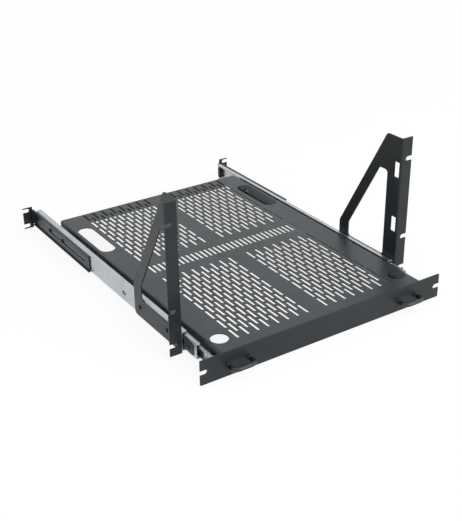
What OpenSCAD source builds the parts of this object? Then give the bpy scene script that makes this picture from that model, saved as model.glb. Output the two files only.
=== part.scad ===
// Sliding rack shelf: a one-unit vented tray on ball-bearing slides, held by a pair of
// six-unit triangular front brackets and a pair of depth-adjustable rear ears.
// X runs across the rack, Y to the rear, Z up. The origin is the middle of the front
// rail plane, at the base of the lowest rack unit. The shelf is shown partly drawn out.

/* [Rack] */
// Height of one rack unit
unit_h = 44.45; // [40:0.05:50]
// Width over the ears of a rack panel
panel_w = 482.6; // [470:0.1:500]
// Distance of the rack screws' column from a panel's end
column_inset = 8.75; // [7:0.05:12]
// Height of the lowest screw centre above the base of a unit
low_screw_z = 6.35; // [6:0.05:8]
// Height of an open screw notch
notch_h = 8; // [6:0.1:9]
// Gap left between stacked panels
unit_gap = 0.8; // [0.4:0.1:2]

/* [Position and travel] */
// How far the shelf is drawn out as shown
drawn_out = 86; // [0:1:200]
// Whole travel of the shelf, from shut to fully out
travel = 550; // [300:1:550]
// Gap between the panel and the brackets when the shelf is shut
shut_gap = 0.3; // [0.2:0.1:2]

/* [Front panel] */
// Thickness of the front panel
panel_t = 2; // [1.5:0.1:4]
// Radius of the panel's corners
panel_corner_r = 1.5; // [0.5:0.1:4]
// How far the panel's top edge stands above the tray
panel_step = 2; // [0.5:0.1:6]

/* [Tray] */
// Width over the tray's side skirts
tray_w = 402; // [392:1:406]
// Depth of the tray
tray_d = 575; // [560:1:620]
// Thickness of the tray's sheet
tray_t = 1.5; // [1:0.1:2]
// Outer radius of the tray's bends
tray_bend_r = 3; // [2.5:0.1:4]
// Height of the side skirts
skirt_h = 30; // [29.5:0.5:34]
// Width of the lip turned in under each skirt
skirt_lip_w = 11; // [6:0.5:20]
// Height of the pressed bosses that carry the slides
boss_h = 4; // [3:0.1:5]
// Width of a boss across its seat
boss_d = 12; // [11.5:0.1:14]
// Height of the front flange
front_flange_h = 34; // [30:0.5:38]
// Height of the rear flange
rear_flange_h = 22; // [10:0.5:34]

/* [Vents and cable cut-outs] */
// Width of one vent slot
vent_w = 4.8; // [3:0.1:6]
// Length of one vent slot
vent_len = 29.2; // [20:0.1:29.4]
// Spacing of the slot columns across the tray
vent_pitch_x = 9.6; // [9.2:0.1:9.8]
// Spacing of the slots along a column
vent_pitch_y = 34.2; // [33:0.1:34.4]
// Slots in each of the longer columns
vent_rows = 7; // [3:1:7]
// Slot columns in one field
vent_columns = 15; // [5:2:15]
// Distance from the tray's middle to the first column
rib_half_w = 19.5; // [17:0.1:20]
// Plain margin ahead of the front fields
front_margin = 25; // [20:0.5:28]
// Plain margin behind the rear fields
rear_margin = 6.5; // [6:0.5:12]
// Width of the cable slots and of the round cable holes
cable_w = 29.5; // [20:0.5:32]
// Length of a rear cable slot
cable_slot_len = 116; // [60:1:140]
// Distance of the cable cut-outs from the tray's edge
cable_inset = 20.5; // [20:0.5:24]
// Distance of the round cable holes from the tray's front
cable_hole_y = 39; // [30:1:60]
// Distance from a cable slot's middle to the tray's rear
cable_slot_y = 116; // [90:1:160]

/* [Handles] */
// Distance between a handle's legs
handle_w = 39; // [30:0.5:50]
// Reach of a handle in front of the panel
handle_reach = 21; // [18:0.5:30]
// Thickness of the handle's bar
handle_bar_d = 8; // [6:0.1:9]
// How far the handles stand below the panel's middle
handle_drop = 4; // [0:0.1:6]
// Radius of the handle's corners, along the bar's middle
handle_bend_r = 9; // [8:0.5:12]
// Distance of a handle's middle from the panel's end
handle_inset = 70.3; // [66:0.1:120]
// Diameter of a handle's foot
handle_foot_d = 11; // [9:0.1:14]
// Thickness of a handle's foot
handle_foot_t = 2; // [1:0.1:3]

/* [Front brackets] */
// Height of a front bracket in rack units
bracket_units = 6; // [5:1:8]
// Thickness of the brackets' sheet
bracket_t = 2.2; // [1.5:0.1:3]
// Inner radius of the brackets' bends
bracket_bend_r = 1.5; // [0.5:0.1:2]
// Height of the bracket's foot above the base of the lowest unit
bracket_foot_z = 4.5; // [0.5:0.1:6]
// Depth of the bracket at its top
bracket_top_d = 36; // [32:0.5:60]
// Depth of the bracket at its foot
bracket_reach = 151; // [130:1:200]
// Height of the bracket's rear end
bracket_end_h = 57.5; // [50:0.5:80]
// Height of the arm that carries the slide
arm_h = 34; // [30:0.5:36]
// Depth of the upright post
post_d = 30; // [26:0.5:31]
// Width of the sloping strut
strut_w = 20; // [14:0.5:24]
// Depth left behind the triangular opening
arm_end_d = 25; // [18:0.5:34]
// Distance from the bracket's top down to the opening
crown_h = 66; // [60:0.5:90]
// Radius of the opening's corners
opening_r = 6; // [2:0.5:8]
// Radius of the bracket's outer corners
bracket_corner_r = 7; // [2:0.5:10]
// Depth of the oblong access holes beside the rack flange
access_w = 12; // [6:0.5:16]
// Height of the access holes
access_h = 28; // [15:0.5:34]
// Distance from the upper access hole down from the top notch
upper_access_step = 20.5; // [19:0.5:26]
// Distance from the lower access hole up from the notch below it
lower_access_step = 24.5; // [19:0.5:30]

/* [Slides] */
// Length of a slide
slide_len = 558.8; // [550:0.1:600]
// Height of a slide
slide_h = 35; // [34:0.1:36]
// Thickness of a slide, from tray to bracket
slide_t = 13; // [12.6:0.1:13.5]
// Height of the slides' middle above the base of the lowest unit
slide_z = 22.2; // [22.1:0.1:22.6]
// Distance of the slide's front end behind the rail plane
slide_back = 2; // [2:0.1:6]
// Sheet thickness of the outer and inner members
member_t = 1.4; // [1.2:0.1:1.5]
// Sheet thickness of the middle member
mid_t = 1.6; // [1.4:0.1:1.7]
// Gap between the webs of the outer and middle members
web_gap = 1.8; // [1.7:0.05:1.9]
// Width of the outer member's tracks
outer_track_w = 9.8; // [9.6:0.1:9.9]
// Width of the middle member's tracks
mid_track_w = 7.6; // [7.4:0.1:7.8]
// Width of the inner member's tracks
inner_track_w = 6; // [5.8:0.1:6.1]
// Outer radius of the middle and inner members' bends
member_bend_r = 1.8; // [1.7:0.1:1.9]
// Outer radius of the outer member's rolled bends
outer_bend_r = 4; // [3:0.1:4.1]
// Height of the turned lips along the tracks
track_lip_h = 0.9; // [0.5:0.05:1]
// Width of the long service hole in the outer member
service_hole_w = 7; // [5:0.5:9]
// Length of that service hole
service_hole_len = 12; // [10:0.5:20]
// How much shorter the middle member is than the slide
mid_short = 13.8; // [12:0.1:16]
// How much shorter the inner member is than the slide
inner_short = 12; // [10:0.1:20]
// Set-back of the middle member behind the outer one when shut
mid_back = 4; // [3:0.1:5]

/* [Ball cages] */
// Diameter of the balls
ball_d = 3; // [2.6:0.05:3.05]
// Running clearance between a ball and its groove
ball_gap = 0.15; // [0.12:0.01:0.2]
// Depth of the grooves that the balls run in
groove_depth = 0.35; // [0.2:0.05:0.4]
// Balls in one row
balls_per_row = 8; // [4:1:10]
// Thickness of the cages' strip
cage_t = 0.8; // [0.6:0.05:0.9]
// Gap between a cage and the web beside it
cage_gap = 0.5; // [0.4:0.05:0.55]
// Length of spare track left beyond a cage at full travel
cage_spare_len = 14; // [12:0.5:20]

/* [Stop pads, bumpers and levers] */
// Length of the plastic stop pad on the middle member
pad_len = 14; // [10:0.5:16]
// Height of the stop pad
pad_h = 21; // [10:0.5:23]
// Thickness of the stop pad
pad_t = 1.4; // [1:0.1:1.5]
// Distance of the stop pad behind the middle member's front
pad_back = 8; // [4:0.5:12]
// Diameter of the stop pad's snap post
pad_post_d = 6; // [4:0.1:8]
// Length of the rubber bumper at the slide's rear end
bumper_len = 8; // [5:0.1:9]
// Width of that bumper
bumper_w = 7; // [4:0.1:7.5]
// Length of a release lever
lever_len = 56; // [40:1:70]
// Height of a release lever at its middle
lever_h = 9; // [7:0.1:9.5]
// Height of a release lever at its ends
lever_tip_h = 6; // [5:0.1:7]
// Thickness of a release lever
lever_t = 2.4; // [1.5:0.1:2.6]
// Diameter of the lever's pivot rivet
rivet_d = 3; // [2.5:0.1:3.5]
// Diameter of the pivot rivet's head
rivet_head_d = 5; // [4.5:0.1:6]
// Height of the pivot rivet's head
rivet_head_h = 0.8; // [0.5:0.1:1]
// Gap round the lever on its rivet
lever_gap = 0.25; // [0.15:0.05:0.3]

/* [Rear brackets] */
// Length of a rear bracket along the slide, with its ear
rear_len = 251.8; // [240:0.1:260]
// Sheet thickness of the rear brackets
rear_t = 2; // [1.5:0.1:2]
// Height of a rear bracket along the slide
rear_h = 33; // [28:0.5:35]
// Width of a rear bracket's stiffening lips, with the sheet
rear_lip_w = 4.2; // [4:0.1:4.5]
// Travel of a rear bracket for a deeper rack
rear_travel = 95; // [60:1:95]
// Width of the clamping slot in a rear bracket
clamp_slot_w = 5.8; // [5:0.1:6.5]
// Slot left beyond a clamping bolt at either end of its travel
clamp_slot_end = 4.5; // [4:0.1:8]
// Distance of the clamping slot behind the bracket's front end
clamp_slot_inset = 17; // [10:0.5:25]
// Distance between the two clamping bolts
clamp_bolt_gap = 56; // [40:0.5:56]
// Gap between a rear bracket and what it slides past
rear_gap = 0.3; // [0.2:0.05:0.4]
// How far a rear bracket's ear reaches behind the slide's end
ear_back = 14; // [3.5:0.1:20]

/* [Fasteners] */
// Diameter of the screws
screw_d = 4; // [3.5:0.1:4.5]
// Play of a screw in its hole
screw_play = 0.4; // [0.2:0.05:0.6]
// Head diameter of the flush screws
flush_head_d = 8; // [7:0.1:8.4]
// Head height of the flush screws
flush_head_h = 2; // [1.8:0.05:2.2]
// Head diameter of the pan-head screws
pan_head_d = 7; // [6.5:0.1:8]
// Head height of the pan-head screws
pan_head_h = 1.8; // [1.4:0.05:2]
// Width across flats of the nuts
nut_w = 7; // [6.5:0.1:7.5]
// Height of the nuts
nut_h = 2.2; // [1.8:0.05:2.4]

/* [Hidden] */

// Overrun of every cut past the face that it opens
over = 1;
// Smoothness of round edges, of small round edges and of the rounded outlines
$fn = 48;
small_fn = 24;
arc_steps = 6;

// Colours, as they look in the photographed light
powder = "#4a4e51";
powder_dark = "#3a3d40";
zinc = "#b9bdc4";
steel = "#d4d7da";
black_plastic = "#1d1f21";
black_rubber = "#18191a";

// Places across the rack: the skirt, the slide's inner face, the bracket's plate, the screws' column
skirt_x = tray_w / 2;
slide_x = skirt_x + boss_h;
plate_x = slide_x + slide_t;
panel_edge_x = panel_w / 2;
column_x = panel_edge_x - column_inset;
handle_x = panel_edge_x - handle_inset;

// Places up the rack
panel_z0 = unit_gap / 2;
panel_z1 = unit_h - unit_gap / 2;
tray_z = panel_z1 - panel_step;
bracket_top_z = bracket_units * unit_h - unit_gap / 2;
middle_notch_z = unit_h / 2;
second_notch_z = 2 * unit_h - low_screw_z;
top_notch_z = (bracket_units - 1) * unit_h + low_screw_z;

// Places to the rear: the panel's back and the tray, as drawn out
panel_back_y = -bracket_t - shut_gap - drawn_out;
tray_y = panel_back_y;
handle_z = unit_h / 2 - handle_drop;

// How far each moving piece of the slides has gone as shown
mid_share = 1 / 2;
outer_cage_share = 1 / 4;
inner_cage_share = 3 / 4;

// Slide section, worked from the outer member's back inward (u) and from its middle up (v)
groove_r = ball_d / 2 + ball_gap;
outer_track_v = slide_h / 2 - member_t;
outer_ball_v = outer_track_v + groove_depth - groove_r;
mid_track_v = outer_ball_v - groove_r + groove_depth;
inner_ball_v = mid_track_v - mid_t + groove_depth - groove_r;
inner_track_v = inner_ball_v - groove_r + groove_depth;
mid_u = member_t + web_gap;
mid_web_u = mid_u + mid_t;
mid_edge_u = mid_u + mid_track_w;
inner_edge_u = slide_t - inner_track_w;
inner_web_u = slide_t - member_t;
outer_cage_u = member_t + cage_gap;
inner_cage_u = mid_web_u + cage_gap;
outer_ball_share = 0.8;
inner_ball_share = 1.15;
outer_ball_u = mid_web_u + groove_r * outer_ball_share;
inner_ball_u = inner_edge_u + groove_r * inner_ball_share;
lip_t = cage_t;

// Slide lengths and places, as if shut, along Y
mid_len = slide_len - mid_short;
inner_len = slide_len - inner_short;
mid_y = slide_back + mid_back;
inner_y = slide_back;
cage_len = slide_len - travel / 2 - 2 * cage_spare_len - mid_back;
outer_cage_y = slide_back + travel * outer_cage_share + cage_spare_len / 2;
inner_cage_y = mid_y + travel / 4 + cage_spare_len;
ball_step = (cage_len - 2 * ball_d) / balls_per_row;

// Places of the screws and the lever along the slides, from the slide's front end. The skirt and the inner
// member lie side by side over the seat's length
bracket_screw_shares = [0.29, 0.89];
bracket_screw_ys = [for (s = bracket_screw_shares) s * (bracket_reach - slide_back)];
inner_screw_shares = [0.06, 0.34, 0.7, 0.95];
seat_len = min(inner_len, tray_y + tray_d - inner_y + drawn_out);
inner_screw_ys = [for (s = inner_screw_shares) s * seat_len];
lever_share = 0.54;
lever_y = seat_len * lever_share;
service_hole_share = 0.342;

// Rear brackets: places across, and places along the slide as shown, with the ears nearest
rear_x = plate_x + rear_gap;
clamp_nut_x = rear_x + rear_t + rear_gap;
ear_back_y = slide_back + slide_len + ear_back;
rear_front_y = ear_back_y - rear_len;
rear_bend_r = rear_t + bracket_bend_r;
clamp_slot_len = rear_travel + clamp_bolt_gap + 2 * clamp_slot_end;
clamp_slot_y = rear_front_y + clamp_slot_inset + clamp_slot_len / 2;
rear_bolt_y = clamp_slot_y + clamp_slot_len / 2 - clamp_slot_end;
clamp_bolt_ys = [rear_bolt_y - clamp_bolt_gap, rear_bolt_y];

// Vent fields
field_len = (vent_rows - 1) * vent_pitch_y + vent_len;
cross_band_d = (tray_d - front_margin - rear_margin - 2 * field_len - vent_len) / 2;
front_field_y = front_margin;
band_y = front_field_y + field_len + cross_band_d;
rear_field_y = band_y + vent_len + cross_band_d;
band_half_columns = floor((rib_half_w + (vent_columns - 1) * vent_pitch_x) / vent_pitch_x);

// Fasteners: the crown of a pan head, the screwed depth of a handle, and the studs along the panel
pan_crown_share = 0.8;
handle_thread_share = 0.4;
stud_shares = [-0.62, -0.22, 0.22, 0.62];

// Unit vector, and a polygon whose corners are rounded by arcs
half_turn = 180;
function unit(v) = v / norm(v);
function corner_arc(a, b, c, r) =
    let (u = unit(a - b), w = unit(c - b), half = acos(u * w) / 2)
    let (centre = b + unit(u + w) * r / sin(half), p = b + u * r / tan(half), q = b + w * r / tan(half))
    let (start = atan2(p.y - centre.y, p.x - centre.x), stop = atan2(q.y - centre.y, q.x - centre.x))
    let (turn = (stop - start + 3 * half_turn) % (2 * half_turn) - half_turn)
    [for (i = [0:arc_steps])
        let (angle = start + turn * i / arc_steps) centre + r * [cos(angle), sin(angle)]];
function rounded(points, r) =
    let (n = len(points))
    [for (i = [0:n - 1]) each corner_arc(points[(i + n - 1) % n], points[i], points[(i + 1) % n], r)];

// Sweeps: an outline drawn in (x, z) runs along Y, and one drawn in (y, z) runs along X
module along_y(y0, y1) {
    translate([0, y1, 0]) rotate([90, 0, 0]) linear_extrude(y1 - y0) children();
}
module along_x(x0, x1) {
    translate([x0, 0, 0]) rotate([90, 0, 90]) linear_extrude(x1 - x0) children();
}

// Puts a right-hand piece on the side asked for: 1 is right, -1 is left
module on_side(side) {
    mirror([side < 0 ? 1 : 0, 0, 0]) children();
}

// Puts a slide outline (u, v) in the rack's (x, z), on the right
module slide_section() {
    translate([plate_x, slide_z]) mirror([1, 0]) children();
}

// Flat pieces of outline
module block(u0, u1, v0, v1) {
    translate([u0, v0]) square([u1 - u0, v1 - v0]);
}
module oblong(w, l) {
    for (end = [-1, 1]) translate([0, end * (l - w) / 2]) circle(d = w, $fn = small_fn);
    square([w, l - w], center = true);
}
module quarter_ring(r, t, from) {
    rotate(from) difference() {
        circle(r = r);
        circle(r = r - t);
        translate([-r - over, -r - over]) square([2 * r + 2 * over, r + over]);
        translate([-r - over, -over]) square([r + over, r + 2 * over]);
    }
}

// A channel outline: its web lies on v, its two flanges run along u, and its bends are round
module channel_outline(w, h, t, r) {
    difference() {
        union() {
            block(r, w, -h / 2, h / 2);
            block(0, w, -h / 2 + r, h / 2 - r);
            for (v = [-1, 1]) translate([r, v * (h / 2 - r)]) circle(r = r, $fn = small_fn);
        }
        block(r, w + over, -h / 2 + t, h / 2 - t);
        block(t, w + over, -h / 2 + r, h / 2 - r);
        for (v = [-1, 1]) translate([r, v * (h / 2 - r)]) circle(r = r - t, $fn = small_fn);
    }
}

// Fasteners, each with its head's bearing face at the origin and its shank along -Z
module flush_screw(grip) {
    translate([0, 0, -flush_head_h])
        cylinder(d1 = screw_d, d2 = flush_head_d, h = flush_head_h, $fn = small_fn);
    translate([0, 0, -grip]) cylinder(d = screw_d, h = grip - flush_head_h, $fn = small_fn);
}
module flush_seat(depth) {
    translate([0, 0, -flush_head_h])
        cylinder(d1 = screw_d, d2 = flush_head_d, h = flush_head_h, $fn = small_fn);
    translate([0, 0, -depth]) cylinder(d = screw_d + screw_play, h = depth, $fn = small_fn);
}
module pan_screw(grip) {
    cylinder(d1 = pan_head_d, d2 = pan_head_d * pan_crown_share, h = pan_head_h, $fn = small_fn);
    translate([0, 0, -grip]) cylinder(d = screw_d, h = grip, $fn = small_fn);
}
module nut() {
    difference() {
        cylinder(d = nut_w / cos(30), h = nut_h, $fn = 6);
        translate([0, 0, -over]) cylinder(d = screw_d, h = nut_h + 2 * over, $fn = small_fn);
    }
}
module screw_hole(depth) {
    translate([0, 0, -depth]) cylinder(d = screw_d + screw_play, h = depth + over, $fn = small_fn);
}

// Turns a fastener so that its head faces -X or +X at a given depth from the plate, or -Y
module head_inward(u, y) {
    translate([plate_x - u, y, slide_z]) rotate([0, -90, 0]) children();
}
module head_outward(u, y) {
    translate([plate_x - u, y, slide_z]) rotate([0, 90, 0]) children();
}
module head_rearward(x, y, z) {
    translate([x, y, z]) rotate([-90, 0, 0]) children();
}

// The open screw notch in a rack flange, drawn in (x, z)
module notch_outline(z) {
    translate([column_x, z]) circle(d = notch_h, $fn = small_fn);
    block(column_x, panel_edge_x + over, z - notch_h / 2, z + notch_h / 2);
}

// Tray: one folded sheet, drawn as its deck, its two skirts and its two end flanges
module vent_field_columns() {
    for (column = [0:vent_columns - 1]) {
        short = column % 2;
        for (row = [0:vent_rows - 1 - short])
            translate([rib_half_w + column * vent_pitch_x, vent_len / 2 + (row + short / 2) * vent_pitch_y])
                oblong(vent_w, vent_len);
    }
}
module vents() {
    for (side = [0, 1], y = [front_field_y, rear_field_y])
        mirror([side, 0]) translate([0, y]) vent_field_columns();
    for (column = [-band_half_columns:band_half_columns])
        translate([column * vent_pitch_x, band_y + vent_len / 2]) oblong(vent_w, vent_len);
}
module cable_cut_outs() {
    for (side = [-1, 1]) {
        translate([side * (skirt_x - cable_inset), cable_hole_y]) circle(d = cable_w);
        translate([side * (skirt_x - cable_inset), tray_d - cable_slot_y]) oblong(cable_w, cable_slot_len);
    }
}
module tray_deck() {
    translate([0, tray_y, tray_z - tray_t]) linear_extrude(tray_t) difference() {
        translate([-skirt_x + tray_bend_r, tray_bend_r])
            square([tray_w - 2 * tray_bend_r, tray_d - 2 * tray_bend_r]);
        vents();
        cable_cut_outs();
    }
}
module skirt_outline() {
    skirt_z = tray_z - skirt_h;
    translate([skirt_x - tray_bend_r, tray_z - tray_bend_r]) quarter_ring(tray_bend_r, tray_t, 0);
    block(skirt_x - tray_t, skirt_x, skirt_z + tray_bend_r, tray_z - tray_bend_r);
    translate([skirt_x - tray_bend_r, skirt_z + tray_bend_r]) quarter_ring(tray_bend_r, tray_t, -90);
    block(skirt_x - skirt_lip_w, skirt_x - tray_bend_r, skirt_z, skirt_z + tray_t);
}
module end_flange_outline(h) {
    translate([tray_bend_r, tray_z - tray_bend_r]) quarter_ring(tray_bend_r, tray_t, 90);
    block(0, tray_t, tray_z - h, tray_z - tray_bend_r);
}
module pressed_boss() {
    base_d = boss_d + boss_h / 2;
    difference() {
        cylinder(d1 = base_d, d2 = boss_d, h = boss_h);
        boss_hollow();
    }
}
module boss_hollow() {
    base_d = boss_d + boss_h / 2;
    translate([0, 0, -tray_t]) cylinder(d1 = base_d - 2 * tray_t, d2 = boss_d - 2 * tray_t, h = boss_h);
}
module flange_fastener_holes() {
    for (x = stud_xs()) head_rearward(x, tray_y + tray_t, middle_notch_z) screw_hole(tray_t + over);
    for (x = handle_leg_xs()) head_rearward(x, tray_y + tray_t, handle_z) screw_hole(tray_t + over);
}
module on_slide_screws() {
    for (y = inner_screw_ys) translate([skirt_x, inner_rest_y() + y, slide_z]) rotate([0, 90, 0]) children();
}
module tray() color(powder) tray_deck();
module tray_skirt(side) color(powder) on_side(side) difference() {
    union() {
        along_y(tray_y + tray_bend_r, tray_y + tray_d - tray_bend_r) skirt_outline();
        on_slide_screws() pressed_boss();
    }
    on_slide_screws() {
        boss_hollow();
        translate([0, 0, -tray_t - over]) cylinder(d = boss_d + boss_h / 2 - 2 * tray_t, h = over);
        cylinder(d = screw_d + screw_play, h = boss_h + over, $fn = small_fn);
    }
}
module tray_front_flange() color(powder) difference() {
    translate([0, tray_y, 0]) along_x(-skirt_x + tray_bend_r, skirt_x - tray_bend_r)
        end_flange_outline(front_flange_h);
    flange_fastener_holes();
}
module tray_rear_flange() color(powder)
    translate([0, tray_y + tray_d, 0]) mirror([0, 1, 0])
        along_x(-skirt_x + tray_bend_r, skirt_x - tray_bend_r) end_flange_outline(rear_flange_h);

// Front panel, with one open notch in each end
module front_panel() color(powder_dark) {
    difference() {
        along_y(panel_back_y - panel_t, panel_back_y) difference() {
            polygon(rounded([
                [-panel_edge_x, panel_z0], [panel_edge_x, panel_z0],
                [panel_edge_x, panel_z1], [-panel_edge_x, panel_z1]
            ], panel_corner_r));
            for (side = [0, 1]) mirror([side, 0]) notch_outline(middle_notch_z);
        }
        for (x = handle_leg_xs())
            head_rearward(x, panel_back_y, handle_z) screw_hole(panel_t + over);
    }
}

// Handles: a round bar bent into a bow, on two turned feet
function handle_leg_xs() = [for (side = [-1, 1], leg = [-1, 1]) side * handle_x + leg * handle_w / 2];
module handle(side) color(black_plastic) {
    face_y = panel_back_y - panel_t;
    leg_x = handle_w / 2;
    bar_y = face_y - handle_reach + handle_bar_d / 2;
    translate([side * handle_x, 0, handle_z]) difference() {
        union() {
            for (end = [-1, 1]) {
                translate([end * leg_x, face_y, 0]) rotate([90, 0, 0])
                    cylinder(d = handle_foot_d, h = handle_foot_t, $fn = small_fn);
                translate([end * leg_x, face_y, 0]) rotate([90, 0, 0])
                    cylinder(d = handle_bar_d, h = face_y - bar_y - handle_bend_r, $fn = small_fn);
            }
            for (turn = [0, 1]) mirror([turn, 0, 0])
                translate([leg_x - handle_bend_r, bar_y + handle_bend_r, 0]) rotate([0, 0, -90])
                    rotate_extrude(angle = 90) translate([handle_bend_r, 0])
                        circle(d = handle_bar_d, $fn = small_fn);
            translate([-leg_x + handle_bend_r, bar_y, 0]) rotate([0, 90, 0])
                cylinder(d = handle_bar_d, h = handle_w - 2 * handle_bend_r, $fn = small_fn);
        }
        for (end = [-1, 1]) translate([end * leg_x, face_y + over, 0]) rotate([90, 0, 0])
            cylinder(d = screw_d, h = over + handle_reach * handle_thread_share, $fn = small_fn);
    }
}
module handle_screws() color(zinc) {
    for (x = handle_leg_xs()) head_rearward(x, tray_y + tray_t, handle_z)
        pan_screw(tray_t + panel_t + handle_reach * handle_thread_share - screw_play);
}

// Press-in studs that hold the tray's front flange to the panel, and their nuts
function stud_xs() = [for (s = stud_shares) s * (handle_x - handle_w)];
module panel_studs() color(zinc) {
    for (x = stud_xs()) head_rearward(x, panel_back_y, middle_notch_z)
        cylinder(d = screw_d, h = tray_t + nut_h + screw_d / 4, $fn = small_fn);
}
module panel_nuts() color(zinc) {
    for (x = stud_xs()) head_rearward(x, tray_y + tray_t, middle_notch_z) nut();
}

// Front brackets: one bent plate with a rack flange, a post, a strut and a slide arm
function plate_start_y() = bracket_bend_r;
function strut_foot() = [bracket_reach, bracket_foot_z + bracket_end_h];
function strut_line() = unit([bracket_top_d, bracket_top_z] - strut_foot());
function strut_inner_foot() = strut_foot() + strut_w * [-strut_line().y, strut_line().x];
function strut_z_at(y) = strut_inner_foot().y + (y - strut_inner_foot().x) * strut_line().y / strut_line().x;
function strut_y_at(z) = strut_inner_foot().x + (z - strut_inner_foot().y) * strut_line().x / strut_line().y;
module bracket_outline() {
    difference() {
        polygon(concat(
            [[plate_start_y(), bracket_foot_z]],
            corner_arc([plate_start_y(), bracket_foot_z], [bracket_reach, bracket_foot_z],
                strut_foot(), bracket_corner_r),
            corner_arc([bracket_reach, bracket_foot_z], strut_foot(),
                [bracket_top_d, bracket_top_z], bracket_corner_r),
            corner_arc(strut_foot(), [bracket_top_d, bracket_top_z],
                [plate_start_y(), bracket_top_z], bracket_corner_r),
            [[plate_start_y(), bracket_top_z]]
        ));
        bracket_opening();
        for (z = [top_notch_z - upper_access_step, second_notch_z + lower_access_step])
            translate([plate_start_y() + access_w / 2, z]) square([access_w, access_h], center = true);
    }
}
module bracket_opening() {
    end_y = bracket_reach - arm_end_d;
    sill_z = bracket_foot_z + arm_h;
    head_z = bracket_top_z - crown_h;
    polygon(rounded([
        [post_d, sill_z], [end_y, sill_z], [end_y, strut_z_at(end_y)],
        [strut_y_at(head_z), head_z], [post_d, head_z]
    ], opening_r));
}
module bent_flange_outline(t, r) {
    bend = t + r;
    block(bend, panel_edge_x - plate_x, 0, t);
    translate([bend, bend]) quarter_ring(bend, t, half_turn);
}
module front_bracket(side) color(powder) on_side(side) {
    difference() {
        union() {
            along_x(plate_x, plate_x + bracket_t) bracket_outline();
            translate([plate_x, -bracket_t, bracket_foot_z]) linear_extrude(bracket_top_z - bracket_foot_z)
                bent_flange_outline(bracket_t, bracket_bend_r);
        }
        along_y(-bracket_t - over, over)
            for (z = [middle_notch_z, second_notch_z, top_notch_z]) notch_outline(z);
        for (y = bracket_screw_ys)
            head_inward(member_t, slide_back + y) flush_seat(member_t + bracket_t + over);
    }
}
module bracket_screws(side) color(powder_dark) on_side(side) {
    for (y = bracket_screw_ys) head_inward(member_t, slide_back + y)
        flush_screw(member_t + bracket_t + nut_h + screw_d / 8);
}
module bracket_nuts(side) color(powder_dark) on_side(side) {
    for (y = bracket_screw_ys) head_outward(-bracket_t, slide_back + y) nut();
}

// Slides: outer member on the bracket, middle member between the ball rows, inner member on the tray
function rest_y(shut_y, share) = shut_y - share * drawn_out;
function inner_rest_y() = rest_y(inner_y, 1);
module groove_pair(u, v) {
    for (side = [-1, 1]) translate([u, side * v]) circle(r = groove_r, $fn = small_fn);
}
module slide_outer(side) color(zinc) on_side(side) difference() {
    along_y(slide_back, slide_back + slide_len) slide_section() difference() {
        union() {
            channel_outline(outer_track_w, slide_h, member_t, outer_bend_r);
            block(outer_track_w - lip_t, outer_track_w, outer_track_v - track_lip_h, slide_h / 2);
            block(outer_track_w - lip_t, outer_track_w, -slide_h / 2, track_lip_h - outer_track_v);
        }
        groove_pair(outer_ball_u, outer_ball_v);
    }
    for (y = bracket_screw_ys) head_inward(member_t, slide_back + y) flush_seat(member_t + over);
    for (y = clamp_bolt_ys) head_inward(member_t, y) flush_seat(member_t + over);
    along_x(plate_x - member_t - over, plate_x + over)
        translate([slide_back + slide_len * service_hole_share, slide_z])
            rotate(90) oblong(service_hole_w, service_hole_len);
}
module slide_middle(side) color(zinc) on_side(side) difference() {
    along_y(rest_y(mid_y, mid_share), rest_y(mid_y, mid_share) + mid_len) slide_section() difference() {
        union() {
            translate([mid_u, 0]) channel_outline(mid_track_w, 2 * mid_track_v, mid_t, member_bend_r);
            block(mid_edge_u - lip_t, mid_edge_u, mid_track_v - mid_t, mid_track_v + track_lip_h);
            block(mid_edge_u - lip_t, mid_edge_u, -mid_track_v - track_lip_h, mid_t - mid_track_v);
        }
        groove_pair(outer_ball_u, outer_ball_v);
        groove_pair(inner_ball_u, inner_ball_v);
    }
    for (y = bracket_screw_ys) head_inward(mid_web_u, rest_y(mid_y, mid_share) - mid_back + y)
        translate([0, 0, -mid_t - over]) cylinder(d = flush_head_d, h = mid_t + 2 * over, $fn = small_fn);
    head_inward(mid_web_u, pad_y() + pad_len / 2)
        translate([0, 0, -mid_t - over]) cylinder(d = pad_post_d, h = mid_t + 2 * over, $fn = small_fn);
}
module slide_inner(side) color(zinc) on_side(side) difference() {
    along_y(inner_rest_y(), inner_rest_y() + inner_len) slide_section() difference() {
        translate([slide_t, 0]) mirror([1, 0])
            channel_outline(inner_track_w, 2 * inner_track_v, member_t, member_bend_r);
        groove_pair(inner_ball_u, inner_ball_v);
    }
    for (y = inner_screw_ys) head_outward(inner_web_u, inner_rest_y() + y) screw_hole(member_t + over);
    head_outward(inner_web_u, inner_rest_y() + lever_y)
        translate([0, 0, -member_t - over]) cylinder(d = rivet_d, h = member_t + 2 * over, $fn = small_fn);
}

// Ball cages: a strip bent round inside the tracks, pierced for the balls
module cage_outline(u, u1, v) {
    w = u1 - u;
    translate([u, 0]) channel_outline(w, 2 * v + cage_t, cage_t, member_bend_r - cage_t / 2);
}
function ball_ys(y) = [for (i = [0:balls_per_row - 1]) y + ball_d + (i + 1 / 2) * ball_step];
module ball_pockets(u, v, y) {
    for (ball_y = ball_ys(y)) translate([plate_x - u, ball_y, slide_z])
        cylinder(
            d = ball_d + 2 * ball_gap, h = 2 * v + 2 * cage_t + 2 * over, center = true, $fn = small_fn
        );
}
module outer_cage(side) color(steel) on_side(side) {
    y = rest_y(outer_cage_y, outer_cage_share);
    difference() {
        along_y(y, y + cage_len) slide_section()
            cage_outline(outer_cage_u, outer_track_w - lip_t - cage_gap, outer_ball_v);
        ball_pockets(outer_ball_u, outer_ball_v, y);
    }
}
module inner_cage(side) color(steel) on_side(side) {
    y = rest_y(inner_cage_y, inner_cage_share);
    difference() {
        along_y(y, y + cage_len) slide_section()
            cage_outline(inner_cage_u, mid_edge_u - cage_gap, inner_ball_v);
        ball_pockets(inner_ball_u, inner_ball_v, y);
    }
}
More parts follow.
